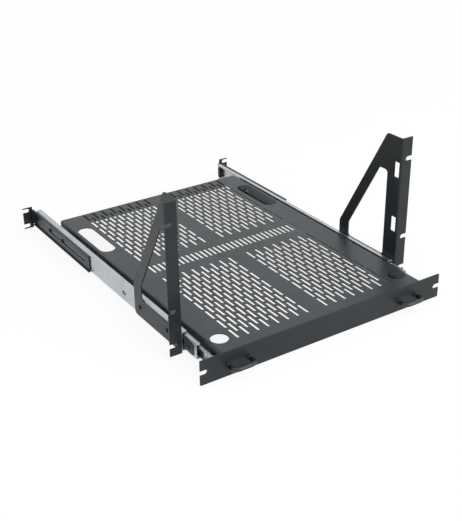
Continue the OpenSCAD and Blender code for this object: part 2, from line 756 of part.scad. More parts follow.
module ball_rows(u, v, y) {
    for (ball_y = ball_ys(y), row = [-1, 1])
        translate([plate_x - u, ball_y, slide_z + row * v]) sphere(d = ball_d, $fn = small_fn);
}
module outer_balls(side) color(steel) on_side(side)
    ball_rows(outer_ball_u, outer_ball_v, rest_y(outer_cage_y, outer_cage_share));
module inner_balls(side) color(steel) on_side(side)
    ball_rows(inner_ball_u, inner_ball_v, rest_y(inner_cage_y, inner_cage_share));

// Plastic stop pad on the outboard face of the middle member, held by a snap post
function pad_y() = rest_y(mid_y, mid_share) + pad_back;
module stop_pad(side) color(black_plastic) on_side(side) {
    along_y(pad_y(), pad_y() + pad_len) slide_section()
        block(mid_u - pad_t, mid_u, -pad_h / 2, pad_h / 2);
    head_inward(mid_web_u, pad_y() + pad_len / 2)
        translate([0, 0, -mid_t - pad_t / 2])
            cylinder(d = pad_post_d, h = mid_t + pad_t / 2, $fn = small_fn);
}

// Rubber bumper wedged between the outer member's tracks, at its rear end
module rear_bumper(side) color(black_rubber) on_side(side) {
    y = slide_back + slide_len;
    along_y(y - bumper_len, y) slide_section()
        block(member_t, member_t + bumper_w, -outer_track_v + outer_bend_r, outer_track_v - outer_bend_r);
}

// Release lever in the inner member, on its pivot rivet
module lever_outline() {
    tip = lever_len / 2;
    polygon(rounded([
        [-tip, -lever_tip_h / 2], [-tip / 4, -lever_h / 2], [tip / 4, -lever_h / 2], [tip, -lever_tip_h / 2],
        [tip, lever_tip_h / 2], [tip / 4, lever_h / 2], [-tip / 4, lever_h / 2], [-tip, lever_tip_h / 2]
    ], lever_tip_h / 4));
}
module release_lever(side) color(black_plastic) on_side(side) {
    u = inner_web_u - lever_gap;
    translate([0, inner_rest_y() + lever_y, slide_z])
        along_x(plate_x - u, plate_x - u + lever_t) difference() {
        lever_outline();
        circle(d = rivet_d + 2 * lever_gap, $fn = small_fn);
    }
}
module lever_rivet(side) color(steel) on_side(side) {
    head_outward(inner_web_u, inner_rest_y() + lever_y) {
        translate([0, 0, -member_t])
            cylinder(d = rivet_d, h = member_t + lever_t + 2 * lever_gap, $fn = small_fn);
        translate([0, 0, lever_t + 2 * lever_gap])
            cylinder(d = rivet_head_d, h = rivet_head_h, $fn = small_fn);
    }
}

// Screws and nuts that hold the inner members to the tray's skirts
module slide_screws(side) color(zinc) on_side(side) {
    for (y = inner_screw_ys) head_outward(inner_web_u, inner_rest_y() + y)
        pan_screw(member_t + tray_t + nut_h + screw_d / 4);
}
module slide_nuts(side) color(zinc) on_side(side) {
    for (y = inner_screw_ys) head_inward(slide_t + tray_t, inner_rest_y() + y) nut();
}

// Rear bracket: a lipped plate that slides along the outer member, and its rack ear
module rear_bracket(side) color(powder) on_side(side) difference() {
    union() {
        along_y(rear_front_y, ear_back_y - rear_bend_r) translate([rear_x, slide_z])
            channel_outline(rear_lip_w, rear_h, rear_t, rear_t + rear_gap);
        translate([rear_x + rear_bend_r, ear_back_y - rear_bend_r, slide_z - rear_h / 2 + rear_t + rear_gap])
            linear_extrude(rear_h - 2 * rear_t - 2 * rear_gap) quarter_ring(rear_bend_r, rear_t, 90);
        along_y(ear_back_y - rear_t, ear_back_y)
            block(rear_x + rear_bend_r, panel_edge_x, panel_z0, panel_z1);
    }
    along_y(ear_back_y - rear_t - over, ear_back_y + over)
        for (z = [low_screw_z, unit_h - low_screw_z]) notch_outline(z);
    along_x(rear_x - over, rear_x + rear_t + over)
        translate([clamp_slot_y, slide_z]) rotate(90) oblong(clamp_slot_w, clamp_slot_len);
}

// Flush bolts fixed in the outer member, with the nuts that clamp the rear bracket
module clamp_bolts(side) color(powder_dark) on_side(side) {
    for (y = clamp_bolt_ys) head_inward(member_t, y)
        flush_screw(member_t + clamp_nut_x - plate_x + nut_h);
}
module clamp_nuts(side) color(powder_dark) on_side(side) {
    for (y = clamp_bolt_ys) translate([clamp_nut_x, y, slide_z]) rotate([0, 90, 0]) nut();
}

tray();
tray_skirt(-1);  // tray_skirt_left
tray_skirt(1);  // tray_skirt_right
tray_front_flange();
tray_rear_flange();
front_panel();
handle(-1);  // handle_left
handle(1);  // handle_right
handle_screws();
panel_studs();
panel_nuts();
front_bracket(-1);  // front_bracket_left
front_bracket(1);  // front_bracket_right
bracket_screws(-1);  // bracket_screws_left
bracket_screws(1);  // bracket_screws_right
bracket_nuts(-1);  // bracket_nuts_left
bracket_nuts(1);  // bracket_nuts_right
slide_outer(-1);  // slide_outer_left
slide_outer(1);  // slide_outer_right
slide_middle(-1);  // slide_middle_left
slide_middle(1);  // slide_middle_right
slide_inner(-1);  // slide_inner_left
slide_inner(1);  // slide_inner_right
outer_cage(-1);  // outer_cage_left
outer_cage(1);  // outer_cage_right
inner_cage(-1);  // inner_cage_left
inner_cage(1);  // inner_cage_right
outer_balls(-1);  // outer_balls_left
outer_balls(1);  // outer_balls_right
inner_balls(-1);  // inner_balls_left
inner_balls(1);  // inner_balls_right
stop_pad(-1);  // stop_pad_left
stop_pad(1);  // stop_pad_right
rear_bumper(-1);  // rear_bumper_left
rear_bumper(1);  // rear_bumper_right
release_lever(-1);  // release_lever_left
release_lever(1);  // release_lever_right
lever_rivet(-1);  // lever_rivet_left
lever_rivet(1);  // lever_rivet_right
slide_screws(-1);  // slide_screws_left
slide_screws(1);  // slide_screws_right
slide_nuts(-1);  // slide_nuts_left
slide_nuts(1);  // slide_nuts_right
rear_bracket(-1);  // rear_bracket_left
rear_bracket(1);  // rear_bracket_right
clamp_bolts(-1);  // clamp_bolts_left
clamp_bolts(1);  // clamp_bolts_right
clamp_nuts(-1);  // clamp_nuts_left
clamp_nuts(1);  // clamp_nuts_right
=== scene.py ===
"""Dressed model of a vented sliding rack shelf on ball-bearing slides.

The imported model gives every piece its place. This script gives each piece its finish, and replaces
the plain ones: bow handles, fasteners, bearing balls, plastic pads and levers, rubber bumpers, and
folded or rolled steel with eased edges. Pieces are worked out in millimetres in the model's frame
(+X right across the rack, +Y to its rear, +Z up). Meshes and the studio are in metres.
"""

import logging
import math
from dataclasses import dataclass, field
from enum import Enum

import bmesh
import bpy
import numpy as np
from mathutils import Matrix, Vector


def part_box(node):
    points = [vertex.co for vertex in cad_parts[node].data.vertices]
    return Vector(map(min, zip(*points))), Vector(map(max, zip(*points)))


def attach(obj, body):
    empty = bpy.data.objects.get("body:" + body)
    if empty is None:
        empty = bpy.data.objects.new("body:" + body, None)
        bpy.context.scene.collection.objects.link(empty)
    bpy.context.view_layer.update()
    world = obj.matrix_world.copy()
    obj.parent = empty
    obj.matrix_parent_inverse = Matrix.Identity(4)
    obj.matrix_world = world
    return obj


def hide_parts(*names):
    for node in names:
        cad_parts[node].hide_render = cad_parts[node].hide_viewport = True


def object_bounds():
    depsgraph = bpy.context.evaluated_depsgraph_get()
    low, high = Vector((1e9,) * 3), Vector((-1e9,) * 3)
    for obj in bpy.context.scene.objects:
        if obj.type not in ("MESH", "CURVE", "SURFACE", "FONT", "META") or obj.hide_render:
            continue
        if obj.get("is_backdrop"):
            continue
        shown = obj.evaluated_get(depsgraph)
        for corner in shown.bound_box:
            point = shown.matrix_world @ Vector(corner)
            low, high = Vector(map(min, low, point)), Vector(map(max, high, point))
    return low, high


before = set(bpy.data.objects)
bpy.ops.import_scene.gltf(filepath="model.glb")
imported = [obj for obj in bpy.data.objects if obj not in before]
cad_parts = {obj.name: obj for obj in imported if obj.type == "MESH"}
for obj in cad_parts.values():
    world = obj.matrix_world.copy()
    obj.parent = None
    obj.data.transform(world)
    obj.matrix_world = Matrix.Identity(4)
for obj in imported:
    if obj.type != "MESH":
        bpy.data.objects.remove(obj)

MM = 0.001
TURN = 2.0 * math.pi
QUARTER = TURN / 4
MERGE_M = 1e-6
SLIVER_M = 1e-7
CREASE_DEG = 38.0
SQUARENESS = 8.0
NOISE_SPAN = (0.3, 0.7)
UP = np.array([0.0, 0.0, 1.0])
REARWARD = np.array([0.0, 1.0, 0.0])

Array = np.ndarray
Socket = bpy.types.NodeSocket
Tree = bpy.types.NodeTree
Pair = tuple[float, float]
Triple = tuple[float, float, float]
LOG = logging.getLogger("rack_shelf")


class Side(Enum):
    """Side of the rack, as the sign of X."""

    LEFT = -1
    RIGHT = 1

    def named(self, base: str) -> str:
        """The name of the node or body of that kind on this side."""
        return f"{base}_{self.name.lower()}"


class Facing(Enum):
    """Way that a fastener's head or a nut's outer face points."""

    INWARD = "inward"
    OUTWARD = "outward"
    REARWARD = "rearward"

    def axis(self, side: Side | None) -> Array:
        """Gives the unit vector of this way.

        Args:
            side: Side of the rack, or None for a row that faces the rear.

        Returns:
            The direction in the model's frame.
        """
        if self is Facing.REARWARD:
            return REARWARD
        return np.array([side.value if self is Facing.OUTWARD else -side.value, 0.0, 0.0])


class FastenerKind(Enum):
    """Kinds of fastener on the shelf."""

    PAN = "pan"
    FLUSH = "flush"
    STUD = "stud"
    NUT = "nut"
    RIVET = "rivet"


# Surfaces and meshes


def smooth_step(x: Array) -> Array:
    """Rises smoothly from 0 to 1 as x goes from 0 to 1: 3 x squared less 2 x cubed."""
    t = np.clip(x, 0.0, 1.0)
    return t * t * (3.0 - 2.0 * t)


def angles(count: int) -> Array:
    """Gives count equal angles round a full turn, without the last."""
    return np.linspace(0.0, TURN, count, endpoint=False)


def wound(r: Array, a: Array, z: Array) -> Array:
    """Gives the points x = r cos a, y = r sin a, z, where the arrays are stretched to one grid."""
    return np.stack(np.broadcast_arrays(r * np.cos(a), r * np.sin(a), z), axis=-1)


def revolved(profile: Array, segments: int) -> Array:
    """Turns a profile of points (r, h) about the Z axis: x = r cos a, y = r sin a, z = h."""
    return wound(profile[:, :1], angles(segments)[None, :], profile[:, 1:])


def swept(path: Array, radii: Array, segments: int) -> Array:
    """Carries a round section along a path in a level plane.

    A point is the path's point + r (cos a N + sin a Z), where N is the level normal of the path.

    Args:
        path: Points of the path, one to a row.
        radii: Radius at each point. A radius of 0 closes an end.
        segments: Number of steps round the section.

    Returns:
        Grid of points, one row for each point of the path.
    """
    tangent = np.gradient(path, axis=0)
    tangent /= np.linalg.norm(tangent, axis=1, keepdims=True)
    normal = np.cross(UP, tangent)
    a = angles(segments)[None, :, None]
    r = radii[:, None, None]
    return path[:, None, :] + r * (np.cos(a) * normal[:, None, :] + np.sin(a) * UP)


def rounded_block(half: Array, edge: float, steps: int = 7, segments: int = 64) -> Array:
    """Makes a closed block with round edges, standing along Z from 0.

    The section is |x/a|^n + |y/b|^n = 1, where n is the squareness. Towards each end, the section
    is drawn in by e (1 - sqrt(1 - t^2)), a quarter circle of radius e.

    Args:
        half: Half widths across X and Y, and the full height.
        edge: Radius of the end edges.
        steps: Rows in each rounded end.
        segments: Number of steps round.

    Returns:
        Grid of points with its ends closed.
    """
    a = angles(segments)
    c, s = np.cos(a), np.sin(a)
    r = (np.abs(c) ** SQUARENESS + np.abs(s) ** SQUARENESS) ** (-1.0 / SQUARENESS)
    t = np.linspace(1.0, 0.0, steps)
    draw = edge * (1.0 - np.sqrt(1.0 - t * t))
    z = np.concatenate([edge * (1.0 - t), half[2] - edge * (1.0 - t[::-1])])
    draw = np.concatenate([draw, draw[::-1]])
    x = (half[0] - draw)[:, None] * (r * c)[None, :]
    y = (half[1] - draw)[:, None] * (r * s)[None, :]
    grid = np.stack([x, y, np.broadcast_to(z[:, None], x.shape)], axis=-1)
    ends = np.stack([0.0 * UP, half[2] * UP])[:, None, :] * np.ones((1, segments, 1))
    return np.concatenate([ends[:1], grid, ends[1:]], axis=0)


def linked(name: str, data: bpy.types.ID) -> bpy.types.Object:
    """Makes an object at the origin and puts it in the scene.

    Args:
        name: Name of the object.
        data: Its mesh, light or camera.

    Returns:
        The object.
    """
    thing = bpy.data.objects.new(name, data)
    bpy.context.collection.objects.link(thing)
    return thing


def settle(shape: bmesh.types.BMesh, mesh: bpy.types.Mesh) -> None:
    """Turns the faces outwards, writes the shape to a mesh and shades it smooth.

    Args:
        shape: The shape, which is freed.
        mesh: The mesh that takes it.
    """
    bmesh.ops.recalc_face_normals(shape, faces=shape.faces)
    shape.to_mesh(mesh)
    shape.free()
    mesh.polygons.foreach_set("use_smooth", np.ones(len(mesh.polygons), dtype=bool))


@dataclass
class Shell:
    """Mesh being put together from grids of points, in millimetres."""

    points: list[Array] = field(default_factory=list)
    quads: list[Array] = field(default_factory=list)
    count: int = 0

    def add(self, grid: Array, ring: bool = False) -> "Shell":
        """Adds a grid that closes across its columns.

        Args:
            grid: Points, rows by columns by 3.
            ring: Whether the last row joins the first.

        Returns:
            This shell.
        """
        rows, columns = grid.shape[:2]
        bands = rows if ring else rows - 1
        r, c = np.meshgrid(np.arange(bands), np.arange(columns), indexing="ij")
        here, below, beside = r * columns, (r + 1) % rows * columns, (c + 1) % columns
        faces = np.stack([here + c, here + beside, below + beside, below + c], -1)
        self.quads.append(faces.reshape(-1, 4) + self.count)
        self.points.append(grid.reshape(-1, 3))
        self.count += rows * columns
        return self

    def placed(self, axis: Array, origin: Array) -> "Shell":
        """Turns local Z to the level unit vector A: p = x Z + y (A x Z) + z A + origin."""
        turn = np.stack([UP, np.cross(axis, UP), axis])
        return Shell([p @ turn + origin for p in self.points], list(self.quads), self.count)

    def join(self, other: "Shell") -> None:
        """Adds another shell to this one.

        Args:
            other: The shell that is added.
        """
        self.points += other.points
        self.quads += [q + self.count for q in other.quads]
        self.count += other.count

    def piece(self, name: str) -> bpy.types.Object:
        """Writes the shell as an object with merged points and faces outwards.

        Args:
            name: Name of the piece.

        Returns:
            The object, at the origin, with its place in its mesh.
        """
        points = (np.concatenate(self.points) * MM).astype(np.float32)
        mesh = bpy.data.meshes.new(name)
        mesh.from_pydata(points, [], np.concatenate(self.quads).astype(np.int32))
        shape = bmesh.new()
        shape.from_mesh(mesh)
        bmesh.ops.remove_doubles(shape, verts=shape.verts, dist=MERGE_M)
        bmesh.ops.dissolve_degenerate(shape, edges=shape.edges, dist=SLIVER_M)
        settle(shape, mesh)
        mesh.set_sharp_from_angle(angle=math.radians(CREASE_DEG))
        return linked(name, mesh)


def node_points(node: str) -> Array:
    """Reads a node's corner points, in millimetres.

    Args:
        node: Name of the node.

    Returns:
        One point to a row.
    """
    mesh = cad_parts[node].data
    flat = np.empty(len(mesh.vertices) * 3, dtype=np.float32)
    mesh.vertices.foreach_get("co", flat)
    return flat.reshape(-1, 3).astype(float) / MM


def node_box(node: str) -> list[Array]:
    """The lowest and highest corner of a node, in millimetres."""
    return [np.array(corner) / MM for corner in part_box(node)]


def islands(points: Array, along: int, gap: float = 5.0) -> list[Array]:
    """Splits points where they leave a gap along one axis.

    Args:
        points: Points of several separate solids.
        along: Axis that they follow one another on.
        gap: Least distance between two of them.

    Returns:
        For each solid, its lowest and highest corner as two rows.
    """
    ordered = points[np.argsort(points[:, along])]
    cuts = np.nonzero(np.diff(ordered[:, along]) > gap)[0] + 1
    return [np.stack([part.min(axis=0), part.max(axis=0)]) for part in np.split(ordered, cuts)]


def dress(piece: bpy.types.Object, finish: "Finish", body: str | None, *nodes: str) -> None:
    """Gives a piece its finish, its body and the nodes that it stands for.

    Args:
        piece: The object, which may be a node of the model.
        finish: Its finish.
        body: Name of the body that it rides on, or None for a node, which rides already.
        nodes: Nodes that it replaces.
    """
    material = finish.material()
    if body is None:
        for place in piece.material_slots:
            place.material = material
    else:
        piece.data.materials.clear()
        piece.data.materials.append(material)
        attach(piece, body)
        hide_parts(*nodes)
    LOG.info("%s: %s on %s", piece.name, finish.slot, body or "its own body")


# Finishes


@dataclass(frozen=True)
class Grain:
    """Noise of one size: its cells to the metre and its number of finer layers."""

    cells: float
    detail: float


@dataclass(frozen=True)
class Relief:
    """Height of a bump: the share of it that shows and its depth in millimetres."""

    strength: float
    depth_mm: float


def map_range(tree: Tree, value: Socket, given: Pair, result: Pair) -> bpy.types.Node:
    """Adds a node that maps a value from one range to another.

    Args:
        tree: Node tree that gets it.
        value: Socket to map.
        given: Two values of that socket.
        result: What they become.

    Returns:
        The node.
    """
    node = tree.nodes.new("ShaderNodeMapRange")
    for name, number in zip(("From Min", "From Max", "To Min", "To Max"), given + result):
        node.inputs[name].default_value = number
    tree.links.new(value, node.inputs["Value"])
    return node


class NodeBoard:
    """Node tree of one material, with short calls for the nodes that the finishes share."""

    def __init__(self, name: str) -> None:
        """Starts a material with one Principled shader.

        Args:
            name: Name of the material.
        """
        self.material = bpy.data.materials.new(name)
        self.material.use_nodes = True
        self.tree = self.material.node_tree
        self.shader = self.tree.nodes["Principled BSDF"]
        self.place = self.tree.nodes.new("ShaderNodeTexCoord").outputs["Object"]

    def join(self, source: Socket, target: Socket) -> None:
        """Links one socket to another."""
        self.tree.links.new(source, target)

    def stretched(self, scale: Triple) -> Socket:
        """Scales the Object coordinates along each axis.

        Args:
            scale: Factor along X, Y and Z.

        Returns:
            The scaled coordinates.
        """
        node = self.tree.nodes.new("ShaderNodeMapping")
        node.inputs["Scale"].default_value = scale
        self.join(self.place, node.inputs["Vector"])
        return node.outputs["Vector"]

    def noise(self, grain: Grain, place: Socket | None = None) -> Socket:
        """Adds a noise texture.

        Args:
            grain: Its size and detail.
            place: Coordinates, or None for plain Object coordinates.

        Returns:
            The noise's value, about 0.5 on average.
        """
        node = self.tree.nodes.new("ShaderNodeTexNoise")
        node.inputs["Scale"].default_value = grain.cells
        node.inputs["Detail"].default_value = grain.detail
        self.join(place or self.place, node.inputs["Vector"])
        return node.outputs["Fac"]

    def ranged(self, noise: Socket, result: Pair) -> Socket:
        """Maps the span that a noise mostly keeps to, NOISE_SPAN, to another range."""
        return map_range(self.tree, noise, NOISE_SPAN, result).outputs["Result"]

    def mixed(self, share: Socket, first: Triple, second: Triple) -> Socket:
        """Mixes two colours.

        Args:
            share: 0 gives the first and 1 the second.
            first: Red, green and blue.
            second: Red, green and blue.

        Returns:
            The mixed colour.
        """
        node = self.tree.nodes.new("ShaderNodeMix")
        node.data_type = "RGBA"
        self.join(share, node.inputs["Factor"])
        colours = [socket for socket in node.inputs if socket.type == "RGBA"]
        colours[0].default_value = (*first, 1.0)
        colours[1].default_value = (*second, 1.0)
        return next(socket for socket in node.outputs if socket.type == "RGBA")

    def bumped(self, height: Socket, relief: Relief, under: Socket | None = None) -> Socket:
        """Adds a bump.

        Args:
            height: Height, from 0 to 1.
            relief: Strength and depth.
            under: Normal of a bump below it.

        Returns:
            The bumped normal.
        """
        node = self.tree.nodes.new("ShaderNodeBump")
        node.inputs["Strength"].default_value = relief.strength
        node.inputs["Distance"].default_value = relief.depth_mm * MM
        self.join(height, node.inputs["Height"])
        if under is not None:
            self.join(under, node.inputs["Normal"])
        return node.outputs["Normal"]


@dataclass(frozen=True)
class Finish:
    """A finish: its slot in the record, its two tones, and its gloss."""

    slot: str
    tone: Triple
    second_tone: Triple
    rough: Pair
    metallic: float = 0.0
    specular: float = 0.5

    def material(self) -> bpy.types.Material:
        """Gives the finish's material, which is made once and then shared.

        Returns:
            The material.
        """
        found = bpy.data.materials.get(f"{self.slot}_finish")
        if found:
            return found
        board = NodeBoard(f"{self.slot}_finish")
        self.lay(board)
        return board.material

    def shade(self, board: NodeBoard, cloud: Socket, gloss: Socket, normal: Socket) -> None:
        """Mixes the tones by one noise, varies the roughness by another, and sets the rest.

        Args:
            board: The material's nodes.
            cloud: Noise for the colour.
            gloss: Noise for the roughness.
            normal: The bumped normal.
        """
        inputs = board.shader.inputs
        share = board.ranged(cloud, (0.0, 1.0))
        board.join(board.mixed(share, self.tone, self.second_tone), inputs["Base Color"])
        board.join(board.ranged(gloss, self.rough), inputs["Roughness"])
        board.join(normal, inputs["Normal"])
        inputs["Metallic"].default_value = self.metallic
        inputs["Specular IOR Level"].default_value = self.specular

    def lay(self, board: NodeBoard) -> None:
        """Adds this finish's nodes to a board."""
        raise NotImplementedError


@dataclass(frozen=True)
class PowderCoat(Finish):
    """Baked black powder paint: a fine orange peel, faint clouding and a satin gloss."""

    cloud: Grain = Grain(16.0, 4.0)
    gloss: Grain = Grain(45.0, 5.0)
    peel: Grain = Grain(780.0, 2.0)
    grit: Grain = Grain(3120.0, 1.0)
    peel_relief: Relief = Relief(0.35, 0.05)
    grit_relief: Relief = Relief(0.25, 0.02)

    def lay(self, board: NodeBoard) -> None:
        """Mixes two blacks in clouds of about 60 mm, and bumps by a peel of about 1.3 mm and grit.

        Args:
            board: The material's nodes.
        """
        cloud, gloss, peel, grit = map(board.noise, (self.cloud, self.gloss, self.peel, self.grit))
        under = board.bumped(grit, self.grit_relief)
        self.shade(board, cloud, gloss, board.bumped(peel, self.peel_relief, under))


@dataclass(frozen=True)
class ZincPlate(Finish):
    """Bright zinc on rolled steel: long grain, faint blue and straw clouds and small spangles."""

    metallic: float = 1.0
    cloud: Grain = Grain(28.0, 5.0)
    grain: Grain = Grain(1.0, 3.0)
    grain_stretch: Triple = (2600.0, 14.0, 2600.0)
    spangle: Grain = Grain(420.0, 2.0)
    grain_relief: Relief = Relief(0.18, 0.02)
    spangle_relief: Relief = Relief(0.08, 0.03)

    def lay(self, board: NodeBoard) -> None:
        """Draws the grain along Y in gloss and relief, clouds the colour, and adds spangles.

        Args:
            board: The material's nodes.
        """
        cloud, spangle = map(board.noise, (self.cloud, self.spangle))
        grain = board.noise(self.grain, board.stretched(self.grain_stretch))
        under = board.bumped(grain, self.grain_relief)
        self.shade(board, cloud, grain, board.bumped(spangle, self.spangle_relief, under))


@dataclass(frozen=True)
class BearingSteel(Finish):
    """Polished bearing steel with a film of oil in patches."""

    metallic: float = 1.0
    film: Grain = Grain(500.0, 2.0)
    gloss: Grain = Grain(900.0, 2.0)
    film_relief: Relief = Relief(0.05, 0.01)

    def lay(self, board: NodeBoard) -> None:
        """Clouds the tone at about 2 mm and the gloss at about 1 mm."""
        film, gloss = map(board.noise, (self.film, self.gloss))
        self.shade(board, film, gloss, board.bumped(film, self.film_relief))


@dataclass(frozen=True)
class TurnedSteel(Finish):
    """Plated small hardware: fine turning marks and a mottled plating."""

    metallic: float = 1.0
    mottle: Grain = Grain(450.0, 4.0)
    marks: Grain = Grain(3200.0, 1.0)
    marks_relief: Relief = Relief(0.2, 0.01)

    def lay(self, board: NodeBoard) -> None:
        """Mottles tone and gloss at about 2 mm and bumps by fine marks."""
        mottle, marks = map(board.noise, (self.mottle, self.marks))
        self.shade(board, mottle, mottle, board.bumped(marks, self.marks_relief))


@dataclass(frozen=True)
class Moulded(Finish):
    """Moulded plastic or rubber: spark-eroded grain and a clouded sheen."""

    grain: Grain = Grain(1800.0, 2.0)
    relief: Relief = Relief(0.4, 0.03)
    cloud: Grain = Grain(120.0, 4.0)
    gloss: Grain = Grain(260.0, 3.0)

    def lay(self, board: NodeBoard) -> None:
        """Clouds the tone at about 8 mm and the gloss at about 4 mm, and bumps by a fine grain."""
        cloud, gloss, grain = map(board.noise, (self.cloud, self.gloss, self.grain))
        self.shade(board, cloud, gloss, board.bumped(grain, self.relief))


# One black powder coat in four tones. The tray's lighter tone is a painted sheen of its
# upward-facing deck. The darker tones of the panel, brackets and handles are painted shade of their
# front-facing and side-facing faces.
TRAY_COAT_PAINTED_SHEEN = PowderCoat(
    "tray_paint", (0.012, 0.0175, 0.0215), (0.019, 0.0255, 0.030), (0.33, 0.42))
PANEL_COAT_PAINTED_SHADE = PowderCoat(
    "panel_paint", (0.0065, 0.0095, 0.0120), (0.0105, 0.0140, 0.0165), (0.36, 0.45), specular=0.35)
BRACKET_COAT_PAINTED_SHADE = PowderCoat(
    "bracket_paint", (0.0080, 0.0110, 0.0130), (0.0125, 0.0160, 0.0180), (0.30, 0.38),
    specular=0.31)
HANDLE_COAT_PAINTED_SHADE = PowderCoat(
    "handle_paint", (0.0060, 0.0075, 0.0085), (0.0095, 0.0110, 0.0120), (0.28, 0.36),
    peel=Grain(950.0, 2.0), grit=Grain(3800.0, 1.0))
SLIDE_ZINC = ZincPlate("zinc_plate", (0.43, 0.455, 0.49), (0.51, 0.53, 0.55), (0.28, 0.42))
CAGE_STEEL = ZincPlate("cage_steel", (0.36, 0.37, 0.39), (0.44, 0.44, 0.45), (0.30, 0.42))
BALL_STEEL = BearingSteel("ball_steel", (0.62, 0.63, 0.65), (0.70, 0.70, 0.71), (0.06, 0.14))
BRIGHT_FASTENER = TurnedSteel(
    "fastener_zinc", (0.50, 0.51, 0.54), (0.60, 0.60, 0.60), (0.25, 0.38))
BLACK_FASTENER = TurnedSteel(
    "fastener_black", (0.018, 0.018, 0.020), (0.032, 0.032, 0.034), (0.34, 0.50),
    metallic=0.0)
BLACK_PLASTIC = Moulded(
    "black_plastic", (0.014, 0.014, 0.015), (0.021, 0.021, 0.022), (0.42, 0.55))
BLACK_RUBBER = Moulded(
    "black_rubber", (0.012, 0.012, 0.012), (0.020, 0.019, 0.019), (0.66, 0.82),
    grain=Grain(900.0, 2.0), relief=Relief(0.4, 0.05))


# Handles


@dataclass(frozen=True)
class BowHandle:
    """Small bow handle of round bar on two turned feet, at one end of the panel."""

    side: Side
    middle_x: float = 171.0
    middle_z: float = 18.225
    face_y: float = -90.5
    width: float = 39.0
    reach: float = 21.0
    bar_d: float = 8.0
    bar_start: float = 0.4
    bar_cap: float = 0.01
    bend_r: float = 9.0
    foot_d: float = 11.0
    foot_t: float = 2.0
    rim_ease: float = 0.5
    hollow: float = 0.4
    seat_ease: float = 0.2
    leg_steps: int = 7
    bend_steps: int = 13
    grip_steps: int = 5
    ease_steps: int = 6
    bar_segments: int = 32
    foot_segments: int = 40

    def bow(self) -> Array:
        """Gives the bar: straight legs, two quarter bends and a straight grip, swept by a circle.

        Returns:
            Grid of the bar's surface about the handle's middle.
        """
        leg, bar = self.width / 2, -self.reach + self.bar_d / 2
        turn = np.linspace(0.0, QUARTER, self.bend_steps)
        bend_x = -leg + self.bend_r * (1.0 - np.cos(turn))
        bend_y = bar + self.bend_r * (1.0 - np.sin(turn))
        down = np.linspace(-self.bar_start, bar + self.bend_r, self.leg_steps + 1)[:-1]
        grip = np.linspace(-leg + self.bend_r, 0.0, self.grip_steps + 1)[1:]
        x = np.concatenate([np.full_like(down, -leg), bend_x, grip])
        y = np.concatenate([down, bend_y, np.full_like(grip, bar)])
        half = np.stack([x, y, np.zeros_like(x)], axis=-1)
        path = np.concatenate([half, (half * [-1.0, 1.0, 1.0])[-2::-1]])
        just_behind = self.bar_cap * REARWARD
        path = np.concatenate([path[:1] + just_behind, path, path[-1:] + just_behind])
        radii = np.full(len(path), self.bar_d / 2)
        radii[[0, -1]] = 0.0
        return swept(path, radii, self.bar_segments)

    def foot(self) -> Array:
        """Gives a foot: a turned disc with an eased rim, and a small hollow curve up to the bar.

        Returns:
            Grid about the foot's middle, with its height along Z.
        """
        rim, neck, t = self.foot_d / 2, self.bar_d / 2, self.foot_t
        ease, hollow, seat = self.rim_ease, self.hollow, self.seat_ease
        bend = np.linspace(0.0, QUARTER, self.ease_steps)
        c, s = np.cos(bend), np.sin(bend)
        profile = np.concatenate([
            [[0.0, 0.0], [rim - seat, 0.0], [rim, seat]],
            np.stack([rim - ease + ease * c, t - hollow - ease + ease * s], axis=-1),
            np.stack([neck + hollow * (1.0 - s), t - hollow + hollow * (1.0 - c)], axis=-1),
            [[0.0, t]],
        ])
        return revolved(profile, self.foot_segments)

    def build(self) -> None:
        """Makes the handle and dresses it."""
        shell = Shell().add(self.bow())
        for end in (-1.0, 1.0):
            place = np.array([end * self.width / 2, 0.0, 0.0])
            shell.join(Shell().add(self.foot()).placed(-REARWARD, place))
        origin = np.array([self.side.value * self.middle_x, self.face_y, self.middle_z])
        shell.points = [p + origin for p in shell.points]
        piece = shell.piece(self.side.named("bow_handle"))
        dress(piece, HANDLE_COAT_PAINTED_SHADE, "shelf", self.side.named("handle"))


# Fasteners


@dataclass(frozen=True)
class CrossRecess:
    """Cross recess in the middle of a driven head: two crossed arms with sloped walls."""

    depth: float = 1.1
    half_width: float = 0.45
    half_length: float = 1.8
    side_slope: float = 0.14
    end_slope: float = 0.2

    def depths(self, grid: Array) -> Array:
        """Gives the depth at each point: D s((w - near) / u + 1/2) s((l - far) / v + 1/2).

        Here near and far are the smaller and the larger of |x| and |y|, and s is the smooth step.

        Args:
            grid: Points about the head's axis.

        Returns:
            The recess's depth at each point.
        """
        away = np.sort(np.abs(grid[..., :2]), axis=-1)
        across = smooth_step((self.half_width - away[..., 0]) / self.side_slope + 0.5)
        along = smooth_step((self.half_length - away[..., 1]) / self.end_slope + 0.5)
        return self.depth * (across * along)


@dataclass(frozen=True)
class HeadForm:
    """Form of a driven head. A row of its rim is a share of the radius, an offset and a height."""

    height: float
    rim: tuple[Triple, ...]


HEADS = {
    FastenerKind.PAN: HeadForm(1.8, (
        (1.0, -0.1, -1.8), (1.0, 0.0, -1.7), (1.0, -0.05, -1.3), (0.94, 0.0, -0.95),
        (0.86, 0.0, -0.55), (0.75, 0.0, -0.3))),
    FastenerKind.FLUSH: HeadForm(2.0, (
        (1.0, -0.1, -0.12), (1.0, -0.04, -0.04), (1.0, -0.1, -0.01), (0.8, 0.0, 0.0))),
}


